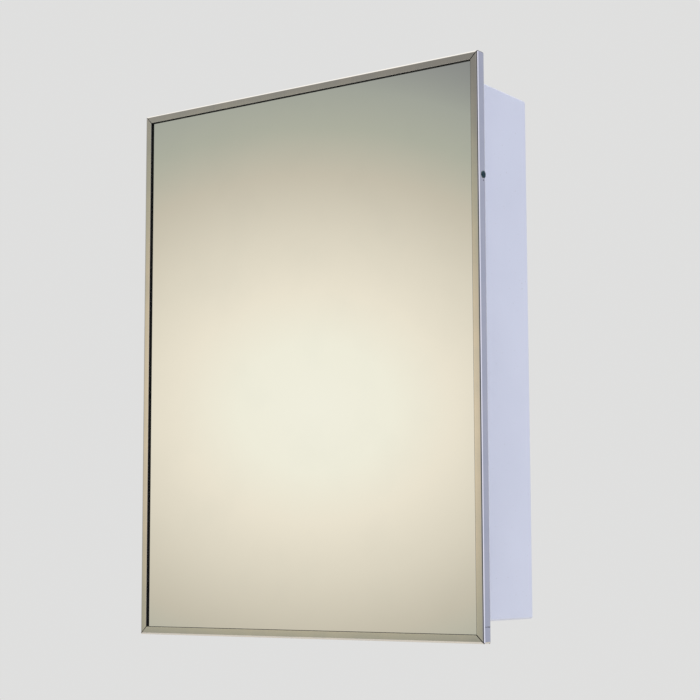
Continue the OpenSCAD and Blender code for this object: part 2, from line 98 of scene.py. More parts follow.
def keep(name, mesh, edge=0.0, segments=2):
    """Makes a piece of a mesh in millimetres, with its sharp edges eased by the width of edge."""
    bmesh.ops.recalc_face_normals(mesh, faces=mesh.faces)
    mesh.transform(Matrix.Scale(mm, 4))
    data = bpy.data.meshes.new(name)
    mesh.to_mesh(data)
    mesh.free()
    data.polygons.foreach_set("use_smooth", [True] * len(data.polygons))
    data.set_sharp_from_angle(angle=math.radians(30))
    piece = bpy.data.objects.new(name, data)
    bpy.context.scene.collection.objects.link(piece)
    if edge:
        ease = piece.modifiers.new("eased edges", "BEVEL")
        ease.limit_method = "ANGLE"
        ease.angle_limit = math.radians(30)
        ease.width = edge * mm
        ease.segments = segments
        ease.use_clamp_overlap = True
    flats = piece.modifiers.new("flat faces stay flat", "WEIGHTED_NORMAL")
    flats.keep_sharp = True
    return piece


def sheet(name, patches, edge=0.12):
    """Welds patches of sheet along the edges that they share and closes them into one solid."""
    mesh = bmesh.new()
    outer = {}
    twin = {}

    def corner(pair):
        key = tuple(round(value, 3) for value in pair[0])
        if key not in outer:
            outer[key] = mesh.verts.new(pair[0])
            twin[outer[key]] = mesh.verts.new(pair[1])
        return outer[key]

    faces = []
    for patch in patches:
        cells = [[corner(pair) for pair in row] for row in patch]
        for low, high in zip(cells, cells[1:]):
            for k in range(len(low) - 1):
                ring = list(dict.fromkeys([low[k], low[k + 1], high[k + 1], high[k]]))
                if len(ring) > 2:
                    faces.append(mesh.faces.new(ring))
    rims = [tuple(line.verts) for line in mesh.edges if line.is_boundary]
    for face in faces:
        mesh.faces.new([twin[point] for point in reversed(face.verts)])
    for first, second in rims:
        mesh.faces.new([first, second, twin[second], twin[first]])
    return keep(name, mesh, edge)


def drawn_corner(centre, outer_r, inner_r, turn, steps=6):
    """The round corner between a web that faces +X and two of its folds; turn is (y, z) signs."""
    rows = []
    for row in range(steps + 1):
        around = math.pi / 2 * row / steps
        cells = []
        for step in range(steps + 1):
            tilt = math.pi / 2 * step / steps
            way = Vector((math.cos(tilt), turn[0] * math.sin(tilt) * math.cos(around),
                          turn[1] * math.sin(tilt) * math.sin(around)))
            cells.append((centre + outer_r * way, centre + inner_r * way))
        rows.append(cells)
    return rows


def side_pan(side, notch):
    """Patches of a side pan: side is 1 for the right one, notch the heights that its cut spans."""
    tip = case_x - flange_w
    top = case_z - case_bend
    inner_bend = case_bend - sheet_t
    profile = folded([(tip, case_front), (case_x, case_front), (case_x, 0), (tip, 0)],
                     case_bend, sheet_t)
    heights = [-top, *notch, top]

    def upright(x, y, z):
        return Vector((side * x, y, z))

    patches = [grid(profile[1:], heights, upright)]
    for low, high in zip(heights[::2], heights[1::2]):
        patches.append(grid(profile[:2], [low, high], upright))
    for turn_z in (-1, 1):
        ends = [(case_x, turn_z * top), (case_x, turn_z * case_z), (tip, turn_z * case_z)]
        fold = folded(ends if turn_z > 0 else ends[::-1], case_bend, sheet_t)
        fold = fold if turn_z > 0 else fold[::-1]
        patches.append(grid(fold, [case_front + case_bend, -case_bend],
                            lambda x, z, y: Vector((side * x, y, z))))
        for y, turn_y in ((case_front + case_bend, -1), (-case_bend, 1)):
            centre = Vector((case_x - case_bend, y, turn_z * top))
            corner = drawn_corner(centre, case_bend, inner_bend, (turn_y, turn_z))
            patches.append([[(Vector((side * a.x, a.y, a.z)), Vector((side * b.x, b.y, b.z)))
                             for a, b in row] for row in corner])
    return patches


def finish(name, colour, roughness, metal=0.0):
    """A new finish, and its shader with a plain colour and roughness to build on."""
    material = bpy.data.materials.new(name)
    material.use_nodes = True
    shader = material.node_tree.nodes["Principled BSDF"]
    shader.inputs["Base Color"].default_value = (*colour, 1.0)
    shader.inputs["Roughness"].default_value = roughness
    shader.inputs["Metallic"].default_value = metal
    return material, shader


def add(material, kind, settings=None, **inputs):
    """Adds a node of a kind to a finish and fills its inputs with values or with other outputs."""
    made = material.node_tree.nodes.new("ShaderNode" + kind)
    for key, value in (settings or {}).items():
        setattr(made, key, value)
    for key, value in inputs.items():
        names = [socket.identifier for socket in made.inputs]
        socket = made.inputs[names.index(key if key in names else key.replace("_", " "))]
        if isinstance(value, bpy.types.NodeSocket):
            material.node_tree.links.new(value, socket)
        else:
            socket.default_value = value
    return made


def mottle(material, scale, detail=2.0, stretch=(1, 1, 1)):
    """Soft random patches, about 1 / scale metres across, longer where stretch is below 1."""
    place = add(material, "TexCoord").outputs["Object"]
    spread = add(material, "Mapping", Vector=place, Scale=stretch).outputs["Vector"]
    return add(material, "TexNoise", Vector=spread, Scale=scale, Detail=detail).outputs["Fac"]


def between(material, value, low, high, to_low=0.0, to_high=1.0):
    """Maps a value from one range to another, held at its ends."""
    names = {"Value": value, "From Min": low, "From Max": high, "To Min": to_low, "To Max": to_high}
    return add(material, "MapRange", {"clamp": True}, **names).outputs["Result"]


def blend(material, share, first, second):
    """A colour between two colours."""
    first, second = ((*c, 1.0) if isinstance(c, tuple) else c for c in (first, second))
    return add(material, "Mix", {"data_type": "RGBA"},
               Factor_Float=share, A_Color=first, B_Color=second).outputs[2]


def drive(material, shader, socket, value):
    """Feeds an output into one of the shader's sockets."""
    material.node_tree.links.new(value, shader.inputs[socket])


def emboss(material, shader, height, depth, under=None):
    """Raises the surface by height times depth in millimetres, on top of another relief."""
    inputs = {"Height": height, "Distance": depth * mm, "Strength": 1.0}
    if under:
        inputs["Normal"] = under
    relief = add(material, "Bump", **inputs).outputs["Normal"]
    drive(material, shader, "Normal", relief)
    return relief


def rubbed_edges(material, reach):
    """How far a surface is rubbed, from 0 to 1: broken patches within reach mm of its edges."""
    eased = add(material, "Bevel", {"samples": 4}, Radius=reach * mm).outputs["Normal"]
    true = add(material, "NewGeometry").outputs["Normal"]
    alike = add(material, "VectorMath", {"operation": "DOT_PRODUCT"},
                Vector=eased, Vector_001=true).outputs["Value"]
    patches = between(material, mottle(material, 260, 4), 0.38, 0.58)
    return add(material, "Math", {"operation": "MULTIPLY"}, Value=patches,
               Value_001=between(material, alike, 0.995, 0.90)).outputs[0]


def painted_crevice_shade(material, reach):
    """How deep in a gap or an inside corner a surface lies, from 0 in the open to 1: a mask for
    painted shade.
    """
    open_sky = add(material, "AmbientOcclusion", {"samples": 4}, Distance=reach * mm).outputs["AO"]
    return between(material, open_sky, 0.75, 0.15)


enamel, enamel_shader = finish("white_enamel", (0.76, 0.775, 0.82), 0.32)
enamel_tone = blend(enamel, between(enamel, mottle(enamel, 9, 4), 0.35, 0.65),
                    (0.74, 0.755, 0.80), (0.77, 0.785, 0.83))
enamel_thin = blend(enamel, rubbed_edges(enamel, 0.5), enamel_tone, (0.58, 0.585, 0.60))
# Painted shade: the enamel greys in its gaps and inside corners, where ambient occlusion finds them
# hidden.
enamel_with_painted_shade = blend(enamel, painted_crevice_shade(enamel, 4), enamel_thin, (0.52, 0.515, 0.52))
enamel_speck = between(enamel, mottle(enamel, 420, 1), 0.76, 0.80)
drive(enamel, enamel_shader, "Base Color",
      blend(enamel, enamel_speck, enamel_with_painted_shade, (0.60, 0.59, 0.58)))
drive(enamel, enamel_shader, "Roughness",
      between(enamel, mottle(enamel, 30, 3), 0.3, 0.7, 0.30, 0.38))
orange_peel = emboss(enamel, enamel_shader, mottle(enamel, 520, 1), 0.035)
emboss(enamel, enamel_shader, mottle(enamel, 22, 1), 0.25, orange_peel)
enamel_shader.inputs["Coat Weight"].default_value = 0.25
enamel_shader.inputs["Coat Roughness"].default_value = 0.12

for side, node_name, notch in ((-1, "left_side", []),
                               (1, "right_side", [catch_z - catch_notch / 2,
                                                  catch_z + catch_notch / 2])):
    pan = sheet("casing_" + node_name, side_pan(side, notch))
    pan.data.materials.append(enamel)
    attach(pan, "casing")
    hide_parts(node_name)

# ---- Casing top and bottom ----
# The top and the bottom, folded like the sides and spot-welded inside them, one sheet further in.
# Their short front and back flanges stiffen the casing's mouth and carry the back panel.

lap = sheet_t + 0.05
lap_bend = case_bend - lap
end_x = case_x - lap
end_z = case_z - lap
end_front = case_front + lap

for side, node_name in ((1, "top_panel"), (-1, "bottom_panel")):
    tip = case_z - flange_w
    across = folded([(-lap, tip), (-lap, end_z), (end_front, end_z), (end_front, tip)],
                    lap_bend, sheet_t)
    down = folded([(end_x - 2 * lap_bend, end_z), (end_x, end_z), (end_x, tip)][::-1],
                  lap_bend, sheet_t)[:-1]
    patches = [grid(across, [lap_bend - end_x, end_x - lap_bend],
                    lambda y, z, x: Vector((x, y, side * z)))]
    for end in (-1, 1):
        patches.append(grid(down, [end_front + lap_bend, -lap - lap_bend],
                            lambda x, z, y: Vector((end * x, y, side * z))))
    pan = sheet("casing_" + node_name, patches)
    pan.data.materials.append(enamel)
    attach(pan, "casing")
    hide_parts(node_name)

# ---- Back panel ----
# The casing's back, one enamelled sheet: a rim that lies on the pans' back flanges and a field
# pressed back level with the wall. Four wall-screw holes are punched through it.

back_high = box_of("back_panel")[1]
rim_y = -2 * lap
field_x = case_x - flange_w - 0.5
field_z = case_z - flange_w - 0.5
press_w = 2.4
wall_hole_x = 152.5
wall_hole_z = 200.0
wall_hole_r = 3.0


def rounded(half_x, half_z, radius, steps=6):
    """Points round a rectangle with round corners, centred on the origin."""
    points = []
    for quarter, (x, z) in enumerate(((1, 1), (-1, 1), (-1, -1), (1, -1))):
        for step in range(steps + 1):
            angle = math.pi / 2 * (quarter + step / steps)
            points.append(Vector((x * (half_x - radius) + radius * math.cos(angle),
                                  z * (half_z - radius) + radius * math.sin(angle))))
    return points


def cut(piece, cutter):
    """Cuts a closed mesh out of a piece for good, after any easing that it has; drops the cutter."""
    flats = piece.modifiers["flat faces stay flat"]
    flats.show_viewport = False
    drill = piece.modifiers.new("cut", "BOOLEAN")
    drill.operation = "DIFFERENCE"
    drill.solver = "EXACT"
    drill.object = cutter
    bpy.context.view_layer.update()
    done = piece.evaluated_get(bpy.context.evaluated_depsgraph_get())
    piece.data = bpy.data.meshes.new_from_object(done)
    for spent in [modifier for modifier in piece.modifiers if modifier != flats]:
        piece.modifiers.remove(spent)
    flats.show_viewport = True
    bpy.data.objects.remove(cutter)


def turned(mesh, profile, place, steps=32):
    """Adds a solid turned from a profile of (radius, height) points to a mesh, put at a place."""
    rings = []
    for radius, height in profile:
        count = steps if radius else 1
        rings.append([mesh.verts.new(place @ Vector((radius * math.cos(math.tau * k / steps),
                                                     radius * math.sin(math.tau * k / steps),
                                                     height))) for k in range(count)])
    for low, high in zip(rings, rings[1:]):
        for k in range(steps):
            ring = [low[k % len(low)], low[(k + 1) % len(low)],
                    high[(k + 1) % len(high)], high[k % len(high)]]
            mesh.faces.new(list(dict.fromkeys(ring)))
    for ring in (rings[0], rings[-1]):
        if len(ring) > 1:
            mesh.faces.new(ring)


def at(x, y, z, facing):
    """A place at a point, with its Z axis turned to face a direction."""
    turn = Vector(facing).to_track_quat("Z", "Y").to_matrix().to_4x4()
    return Matrix.Translation((x, y, z)) @ turn


def band(mesh, low, high):
    """Adds the faces between two closed loops of as many points."""
    for k in range(len(low)):
        after = (k + 1) % len(low)
        mesh.faces.new([low[k], low[after], high[after], high[k]])


def press(steps):
    """Loops from the rim's edge to the edge of the field: (inset of the loop, y of its face)."""
    loops = [(0.0, rim_y)]
    for step in range(steps + 1):
        share = step / steps
        ease = share * share * (3 - 2 * share)
        inset = back_high.x - field_x + press_w * (share - 0.5)
        loops.append((inset, rim_y * (1 - ease)))
    return loops


mesh = bmesh.new()
rims = []
for face_shift in (0.0, -sheet_t):
    rows = []
    for inset, y in press(6):
        half_x = back_high.x - inset
        half_z = back_high.z - inset * (back_high.z - field_z) / (back_high.x - field_x)
        rows.append([mesh.verts.new((point.x, y + face_shift, point.y))
                     for point in rounded(half_x, half_z, 5)])
    for low, high in zip(rows, rows[1:]):
        band(mesh, low, high)
    mesh.faces.new(rows[-1])
    rims.append(rows[0])
band(mesh, *rims)
back = keep("casing_back_panel", mesh, 0.12)
mesh = bmesh.new()
for x in (-wall_hole_x, wall_hole_x):
    for z in (-wall_hole_z, wall_hole_z):
        turned(mesh, [(wall_hole_r, -3), (wall_hole_r, 3)], at(x, 0, z, (0, 1, 0)))
cut(back, keep("wall_hole_drills", mesh))
back.data.materials.append(enamel)
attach(back, "casing")
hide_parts("back_panel")

# ---- Shelf standards ----
# Four slotted channels of zinc-plated steel, spot-welded upright to the insides of the sides. A
# slot every 25 mm takes the hook of a shelf clip.

std_t = 0.9
std_bend = 1.3
slot_pitch = 25.0
slot_size = 6.0
slot_drop = 4.5

zinc, zinc_shader = finish("zinc_plate", (0.60, 0.61, 0.63), 0.30, 1.0)
spangle = mottle(zinc, 260, 2, (1, 1, 0.4))
zinc_tone = blend(zinc, between(zinc, spangle, 0.3, 0.7), (0.53, 0.545, 0.58), (0.68, 0.68, 0.68))
zinc_rubbed = blend(zinc, rubbed_edges(zinc, 0.4), zinc_tone, (0.80, 0.79, 0.76))
# Painted shade: the plating goes near-black in the slots, gaps and inside corners, by ambient
# occlusion.
drive(zinc, zinc_shader, "Base Color",
      blend(zinc, painted_crevice_shade(zinc, 2.5), zinc_rubbed, (0.10, 0.095, 0.09)))
drive(zinc, zinc_shader, "Roughness",
      between(zinc, mottle(zinc, 90, 3), 0.3, 0.7, 0.22, 0.42))
emboss(zinc, zinc_shader, mottle(zinc, 900, 1), 0.01)

for node_name in ("standard_left_front", "standard_left_rear",
                  "standard_right_front", "standard_right_rear"):
    low, high = box_of(node_name)
    side = 1 if high.x > 0 else -1
    face, wall = (low.x, high.x) if side > 0 else (-high.x, -low.x)
    mid_y = (low.y + high.y) / 2
    channel = folded([(wall, low.y), (face, low.y), (face, high.y), (wall, high.y)][::-1],
                     std_bend, std_t, 4)
    slots = int((high.z - slot_size) / slot_pitch)
    heights = [low.z]
    for k in range(-slots, slots + 1):
        heights += [k * slot_pitch - slot_drop + end * slot_size / 2 for end in (-1, 1)]
    heights.append(high.z)

    def upright(x, y, z):
        return Vector((side * x, y, z))

    half = len(channel) // 2
    slot_edges = [(Vector((face, mid_y + end * slot_size / 2)),
                   Vector((face + std_t, mid_y + end * slot_size / 2))) for end in (1, -1)]
    patches = [grid(channel[:half] + slot_edges[:1], heights, upright),
               grid(slot_edges[1:] + channel[half:], heights, upright)]
    for under, over in zip(heights[::2], heights[1::2]):
        patches.append(grid(slot_edges, [under, over], upright))
    channel_piece = sheet(node_name + "_channel", patches)
    channel_piece.data.materials.append(zinc)
    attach(channel_piece, "casing")
    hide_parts(node_name)

# ---- Shelf clips ----
# Twelve clips bent from 1.2 mm plated strip, four under each shelf. The tongue lies under the
# glass, the plate hangs down the face of the standard and the hook drops behind a slot.

clip_t = 1.2
clip_w = 10.0
clip_drop = 11.0
clip_bend = 1.6
hook_w = 5.0
standard_ys = [sum(corner.y for corner in box_of("standard_left_" + end)) / 2
               for end in ("front", "rear")]
standard_face = box_of("standard_right_front")[0].x

for node_name in ("clips_lower", "clips_middle", "clips_upper"):
    high = box_of(node_name)[1]
    tongue_tip = standard_face - 10
    plate_face = standard_face - 0.05
    hook_low = high.z - slot_drop - slot_size / 2 + 0.05
    hook_back = high.x
    patches = []
    for side in (-1, 1):
        for y in standard_ys:
            strip = folded([(tongue_tip, high.z), (plate_face, high.z),
                            (plate_face, high.z - clip_drop)][::-1], clip_bend, clip_t, 5)
            patches.append(grid(strip, [y - clip_w / 2, y + clip_w / 2],
                                lambda x, z, at_y: Vector((side * x, at_y, z))))
            hook = folded([(plate_face - 0.3, hook_low + 0.8), (hook_back - clip_t, hook_low + 0.8),
                           (hook_back - clip_t, hook_low - 3)], 1.3, clip_t, 4)
            patches.append(grid(hook, [y - hook_w / 2, y + hook_w / 2],
                                lambda x, z, at_y: Vector((side * x, at_y, z))))
    clips = sheet(node_name + "_bent", patches)
    clips.data.materials.append(zinc)
    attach(clips, "casing")
    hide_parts(node_name)

# ---- Magnetic catch and door bumpers ----
# A moulded white case screwed behind the right side's front flange. It holds a ferrite magnet
# between two plated pole plates, which float a little so that they meet the strike plate flat.
# Two rubber bumpers on the same flange keep the door from slamming.

moulded, moulded_shader = finish("catch_plastic", (0.80, 0.80, 0.77), 0.42)
moulded_tone = blend(moulded, mottle(moulded, 40, 3), (0.76, 0.76, 0.72), (0.84, 0.84, 0.81))
# Painted shade: the moulding darkens to brown-grey in its gaps and inside corners, by ambient
# occlusion.
drive(moulded, moulded_shader, "Base Color",
      blend(moulded, painted_crevice_shade(moulded, 2), moulded_tone, (0.36, 0.34, 0.30)))
emboss(moulded, moulded_shader, mottle(moulded, 1500, 2), 0.02)

ferrite, ferrite_shader = finish("ferrite", (0.06, 0.06, 0.065), 0.55)
ferrite_tone = blend(ferrite, between(ferrite, mottle(ferrite, 800, 4), 0.4, 0.7),
                     (0.035, 0.035, 0.04), (0.13, 0.13, 0.135))
drive(ferrite, ferrite_shader, "Base Color",
      blend(ferrite, rubbed_edges(ferrite, 0.4), ferrite_tone, (0.22, 0.215, 0.21)))
emboss(ferrite, ferrite_shader, mottle(ferrite, 1200, 3), 0.05)

for node_name, material, slot_name, edge in (
        ("catch_case", moulded, "catch_plastic", 0.5),
        ("catch_magnet", ferrite, "magnet", 0.35),
        ("catch_pole_plates", zinc, "zinc_plate", 0.2)):
    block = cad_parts[node_name]
    block.data.materials.clear()
    block.data.materials.append(material)
    weld = block.modifiers.new("weld", "WELD")
    weld.merge_threshold = 0.001 * mm
    ease = block.modifiers.new("eased edges", "BEVEL")
    ease.limit_method = "ANGLE"
    ease.width = edge * mm
    ease.segments = 3
    block.modifiers.new("flat faces stay flat", "WEIGHTED_NORMAL")


def blades(name, places, turn, arm_l, arm_w, depth):
    """Tapered blades that cut one arm of a cross recess into the surface at each place."""
    mesh = bmesh.new()
    for place in places:
        blade = place @ Matrix.Rotation(turn, 4, "Z")
        corners = ((-1, -1), (1, -1), (1, 1), (-1, 1))
        top = [mesh.verts.new(blade @ Vector((x * arm_l, y * arm_w, 1))) for x, y in corners]
        foot = [mesh.verts.new(blade @ Vector((x * arm_l * 0.45, y * arm_w * 0.7, -depth)))
                for x, y in corners]
        mesh.faces.new(top)
        mesh.faces.new(foot[::-1])
        for k in range(4):
            mesh.faces.new([top[k], foot[k], foot[(k + 1) % 4], top[(k + 1) % 4]])
    return keep(name, mesh)


def screws(name, places, head, recess, material):
    """Screws turned from a profile, each with a cross recess cut down from its head's top."""
    mesh = bmesh.new()
    for place in places:
        turned(mesh, head, place)
    made = keep(name, mesh)
    crown = head[-1][1]
    tops = [place @ Matrix.Translation((0, 0, crown)) for place in places]
    for turn in (0, math.pi / 2):
        cut(made, blades("recess_blades", tops, turn, *recess))
    made.data.materials.append(material)
    return made


def dome(radius, height, steps=6, rim=0.0):
    """Profile points of a low dome of a radius and height, from its rim up to its crown."""
    points = []
    for step in range(steps + 1):
        angle = math.pi / 2 * step / steps
        points.append((radius * math.cos(angle) if step < steps else 0.0,
                       rim + (height - rim) * math.sin(angle)))
    return points


catch_x = (catch_low.x + catch_high.x) / 2
catch_screw_off = (catch_high.z - catch_low.z) / 2 - 5.5
catch_screw_places = [at(catch_x, case_front, catch_z + end * catch_screw_off, (0, -1, 0))
                      for end in (-1, 1)]
catch_screws = screws("catch_screw_pair", catch_screw_places,
                      [(0, -5.2), (1.35, -5.0), (1.35, 0), (2.5, 0)] + dome(2.5, 0.9, rim=0.25),
                      (1.5, 0.3, 0.6), zinc)
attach(catch_screws, "casing")
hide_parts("catch_screws")

rubber, rubber_shader = finish("black_rubber", (0.03, 0.03, 0.032), 0.6)
drive(rubber, rubber_shader, "Base Color",
      blend(rubber, between(rubber, mottle(rubber, 500, 5), 0.5, 0.75), (0.022, 0.022, 0.024),
            (0.075, 0.073, 0.07)))
drive(rubber, rubber_shader, "Roughness",
      between(rubber, mottle(rubber, 300, 3), 0.3, 0.7, 0.5, 0.75))
emboss(rubber, rubber_shader, mottle(rubber, 1500, 2), 0.02)

bumper_low, bumper_high = box_of("door_bumpers")
bumper_r = (bumper_high.x - bumper_low.x) / 2
bumper_t = bumper_high.y - bumper_low.y
mesh = bmesh.new()
for end in (-1, 1):
    place = at(bumper_high.x - bumper_r, case_front, end * (bumper_high.z - bumper_r), (0, -1, 0))
    turned(mesh, [(0, 0), (bumper_r - 0.2, 0), (bumper_r, 0.2), (bumper_r, bumper_t * 0.35)]
           + dome(bumper_r, bumper_t, rim=bumper_t * 0.4), place)
bumpers = keep("door_bumper_pair", mesh)
bumpers.data.materials.append(rubber)
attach(bumpers, "casing")
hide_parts("door_bumpers")

# ---- Hinge, fixed half ----
# A continuous hinge of 1 mm steel: the leaf's edge is cut into tabs, every second one missing,
# and each tab is rolled round a 3 mm pin into a knuckle. Eight rivets hold this leaf to the side.

leaf_t = 1.0
leaf_w = 12.0
bore_r = 1.55
barrel_r = bore_r + leaf_t
knuckle_l = 12.5
knuckles = 40
knuckle_gap = 0.3
leaf_hole_u = 9.0
leaf_fasteners = 8
pin_low, pin_high = box_of("hinge_pin")
pin_x = (pin_low.x + pin_high.x) / 2
pin_y = (pin_low.y + pin_high.y) / 2
hinge_l = knuckles * knuckle_l
fastener_zs = [(k - (leaf_fasteners - 1) / 2) * hinge_l / leaf_fasteners
               for k in range(leaf_fasteners)]

hinge_steel, hinge_shader = finish("hinge_steel", (0.58, 0.57, 0.55), 0.26, 1.0)
rolling = mottle(hinge_steel, 500, 3, (1, 1, 0.02))
hinge_tone = blend(hinge_steel, between(hinge_steel, mottle(hinge_steel, 60, 4), 0.35, 0.7),
                   (0.60, 0.59, 0.57), (0.50, 0.485, 0.455))
hinge_rubbed = blend(hinge_steel, rubbed_edges(hinge_steel, 0.4), hinge_tone, (0.76, 0.75, 0.73))
# Painted shade: the steel goes near-black between the knuckles and in inside corners, by ambient
# occlusion.
drive(hinge_steel, hinge_shader, "Base Color",
      blend(hinge_steel, painted_crevice_shade(hinge_steel, 2), hinge_rubbed, (0.08, 0.072, 0.065)))
drive(hinge_steel, hinge_shader, "Roughness",
      between(hinge_steel, rolling, 0.3, 0.7, 0.20, 0.38))
emboss(hinge_steel, hinge_shader, rolling, 0.012)


def leaf(first, place):
    """Patches of a leaf: a strip, and a rolled knuckle on every second tab from the first."""
    bounds = [k * knuckle_l - hinge_l / 2 for k in range(1, knuckles)]
    heights = [-hinge_l / 2]
    for bound in bounds:
        heights += [bound - knuckle_gap / 2, bound + knuckle_gap / 2]
    heights.append(hinge_l / 2)
    cut_back = barrel_r + knuckle_gap
    strip = [(Vector((u, barrel_r)), Vector((u, bore_r))) for u in (cut_back, leaf_w)]
    roll = [strip[0]]
    for step in range(25):
        angle = math.radians(90 + 296 * step / 24)
        way = Vector((math.cos(angle), math.sin(angle)))
        roll.append((barrel_r * way, bore_r * way))
    patches = [grid(strip, heights, place)]
    for k in range(first, knuckles, 2):
        patches.append(grid(roll, heights[2 * k:2 * k + 2], place))
    return patches


body_leaf = sheet("hinge_leaf_on_casing",
                  leaf(0, lambda u, v, z: Vector((pin_x + v, pin_y + u, z))), 0.1)
body_leaf.data.materials.append(hinge_steel)
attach(body_leaf, "casing")
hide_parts("hinge_body_leaf")

mesh = bmesh.new()
turned(mesh, [(0, pin_low.z), (1.4, pin_low.z), (2.3, pin_low.z + 0.35), (2.5, -hinge_l / 2),
              (1.5, -hinge_l / 2), (1.5, hinge_l / 2), (2.5, hinge_l / 2),
              (2.3, pin_high.z - 0.35), (1.4, pin_high.z), (0, pin_high.z)],
       Matrix.Translation((pin_x, pin_y, 0)))
pin = keep("hinge_pin_headed", mesh, 0.08)
pin.data.materials.append(hinge_steel)
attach(pin, "casing")
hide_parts("hinge_pin")

mesh = bmesh.new()
for z in fastener_zs:
    turned(mesh, [(0, -3.1), (1.9, -3.1), (2.2, -2.8), (2.2, -1.9), (1.5, -1.9), (1.5, 0), (2.6, 0)]
           + dome(2.6, 0.8, rim=0.12), at(-case_x - leaf_t, pin_y + leaf_hole_u, z, (-1, 0, 0)))
rivets = keep("hinge_leaf_rivets", mesh)
rivets.data.materials.append(zinc)
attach(rivets, "casing")
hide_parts("hinge_body_rivets")

# ---- Door frame ----
# Four members of 0.8 mm polished stainless steel, roll-formed into a channel round the mirror and
# mitred at the corners, with front flanges that lean back a little towards the outside. Tabs
# turned up from the bottom member leave a seam across each upright. Angles hold it square.

frame_t = 0.8
frame_bend = 2.0
front_w = 8.0
front_lean = 0.12
back_w = 10.0
mitre_gap = 0.8
tab_h = 15.0
seam_gap = 0.7
pit_r = 0.7
pit_drop = 5.6
top_low, top_high = box_of("frame_top")
door_x = top_high.x + mitre_gap / math.sqrt(2)
door_z = top_high.z
door_face = top_low.y
door_back = top_high.y
screw_low, screw_high = box_of("frame_screws")
screw_y = (screw_low.y + screw_high.y) / 2
screw_z = (screw_low.z + screw_high.z) / 2

polished, polished_shader = finish("polished_steel", (0.82, 0.765, 0.67), 0.07, 1.0)
smears = between(polished, mottle(polished, 45, 4), 0.35, 0.7)
polished_tone = blend(polished, smears, (0.84, 0.78, 0.68), (0.78, 0.74, 0.66))
drive(polished, polished_shader, "Base Color",
      blend(polished, rubbed_edges(polished, 0.5), polished_tone, (0.68, 0.64, 0.57)))
buffing = mottle(polished, 700, 2, (1, 1, 0.03))
drive(polished, polished_shader, "Roughness", between(polished, buffing, 0.25, 0.75, 0.05, 0.12))
buffed = emboss(polished, polished_shader, buffing, 0.0015)
emboss(polished, polished_shader, mottle(polished, 18, 1), 0.06, buffed)

# Painted shade: the mitre faces, the seams' end faces and the pits' insides are near-black, where the
# gaps lie in shade.
cut_face_shade, cut_face_shade_shader = finish("cut_faces_painted_shade", (0.05, 0.05, 0.05), 0.6, 1.0)
drive(cut_face_shade, cut_face_shade_shader, "Base Color",
      blend(cut_face_shade, mottle(cut_face_shade, 2000, 2), (0.03, 0.03, 0.03), (0.09, 0.085, 0.08)))

channel = folded([(back_w, door_back), (0, door_back), (0, door_face + front_lean),
                  (front_w, door_face)], frame_bend, frame_t)
back_fold = channel[:8]
web = channel[7:9]
front_fold = channel[8:]


def mitred(pairs, half, lows, place):
    """A patch along a member: its rows run from one mitre, past the rows at lows, to the other."""
    def end(inset):
        return half - mitre_gap / math.sqrt(2) - inset

    rows = []
    for low in [-math.inf, *lows, math.inf]:
        row = []
        for pair in pairs:
            row.append(tuple(place(*point, max(-end(point.x), min(end(point.x), low)))
                             for point in pair))
        rows.append(row)
    return rows


seam_z = tab_h + seam_gap - door_z
tab_start = door_x - frame_bend
edge_path = folded([(-door_x, tab_h - door_z), (-door_x, -door_z), (door_x, -door_z),
                    (door_x, tab_h - door_z)], frame_bend, frame_t)
turned_up = [[(Vector((outer.x, y, outer.y)), Vector((inner.x, y, inner.y)))
              for y in (web[0][0].y, web[1][0].y)] for outer, inner in edge_path]


def on_upright(side):
    return lambda inset, y, z: Vector((side * (door_x - inset), y, z))


def on_cross(side):
    return lambda inset, y, x: Vector((x, y, side * (door_z - inset)))


members = {
    "frame_top": [mitred(channel, door_x, [], on_cross(1))],
    "frame_bottom": [mitred(back_fold, door_x, [-tab_start, tab_start], on_cross(-1)),
                     mitred(front_fold, door_x, [-tab_start, tab_start], on_cross(-1)),
                     turned_up]}
for side, node_name in ((-1, "frame_left"), (1, "frame_right")):
    members[node_name] = [mitred(back_fold, door_z, [seam_z], on_upright(side)),
                          mitred(front_fold, door_z, [seam_z], on_upright(side)),
                          mitred(web, door_z, [seam_z], on_upright(side))[1:]]
for node_name, patches in members.items():
    member = sheet(node_name + "_channel", patches, 0.1)
    if node_name in ("frame_left", "frame_right"):
        mesh = bmesh.new()
        side = 1 if node_name == "frame_right" else -1
        turned(mesh, [(0, -0.45), (pit_r, -0.2), (pit_r, 1), (0, 1)],
               at(side * door_x, screw_y, screw_z - pit_drop, (side, 0, 0)), 16)
        cut(member, keep("pit_punch", mesh))
    member.data.materials.append(polished)
    member.data.materials.append(cut_face_shade)
    # Faces on the mitres, across the seams and inside the pits take the painted shade.
    for polygon in member.data.polygons:
        on_mitre = min(abs(polygon.normal.x), abs(polygon.normal.z)) > 0.69
        from_seam = abs(abs(polygon.center.z / mm) - (door_z - tab_h - seam_gap / 2))
        at_seam = abs(polygon.normal.z) > 0.9 and from_seam < seam_gap
        from_pit = math.hypot(polygon.center.y / mm - screw_y,
                              polygon.center.z / mm - screw_z + pit_drop)
        if on_mitre or at_seam or from_pit < pit_r:
            polygon.material_index = 1
    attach(member, "door")
    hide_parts(node_name)

angle_t = 0.9
angle_l = 24.0
angle_room = 0.05
angle_x = door_x - frame_t - angle_room
angle_z = door_z - frame_t - angle_room
angle_ys = (door_face + frame_bend + angle_room, door_back - frame_bend - angle_room)
patches = []
for side in (-1, 1):
    for end in (-1, 1):
        corner = folded([(angle_x, angle_z - angle_l), (angle_x, angle_z),
                         (angle_x - angle_l, angle_z)], frame_bend, angle_t)
        patches.append(grid(corner, angle_ys,
                            lambda x, z, y: Vector((side * x, y, end * z))))
angles = sheet("frame_corner_angles", patches)
angles.data.materials.append(zinc)
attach(angles, "door")
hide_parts("corner_angles")

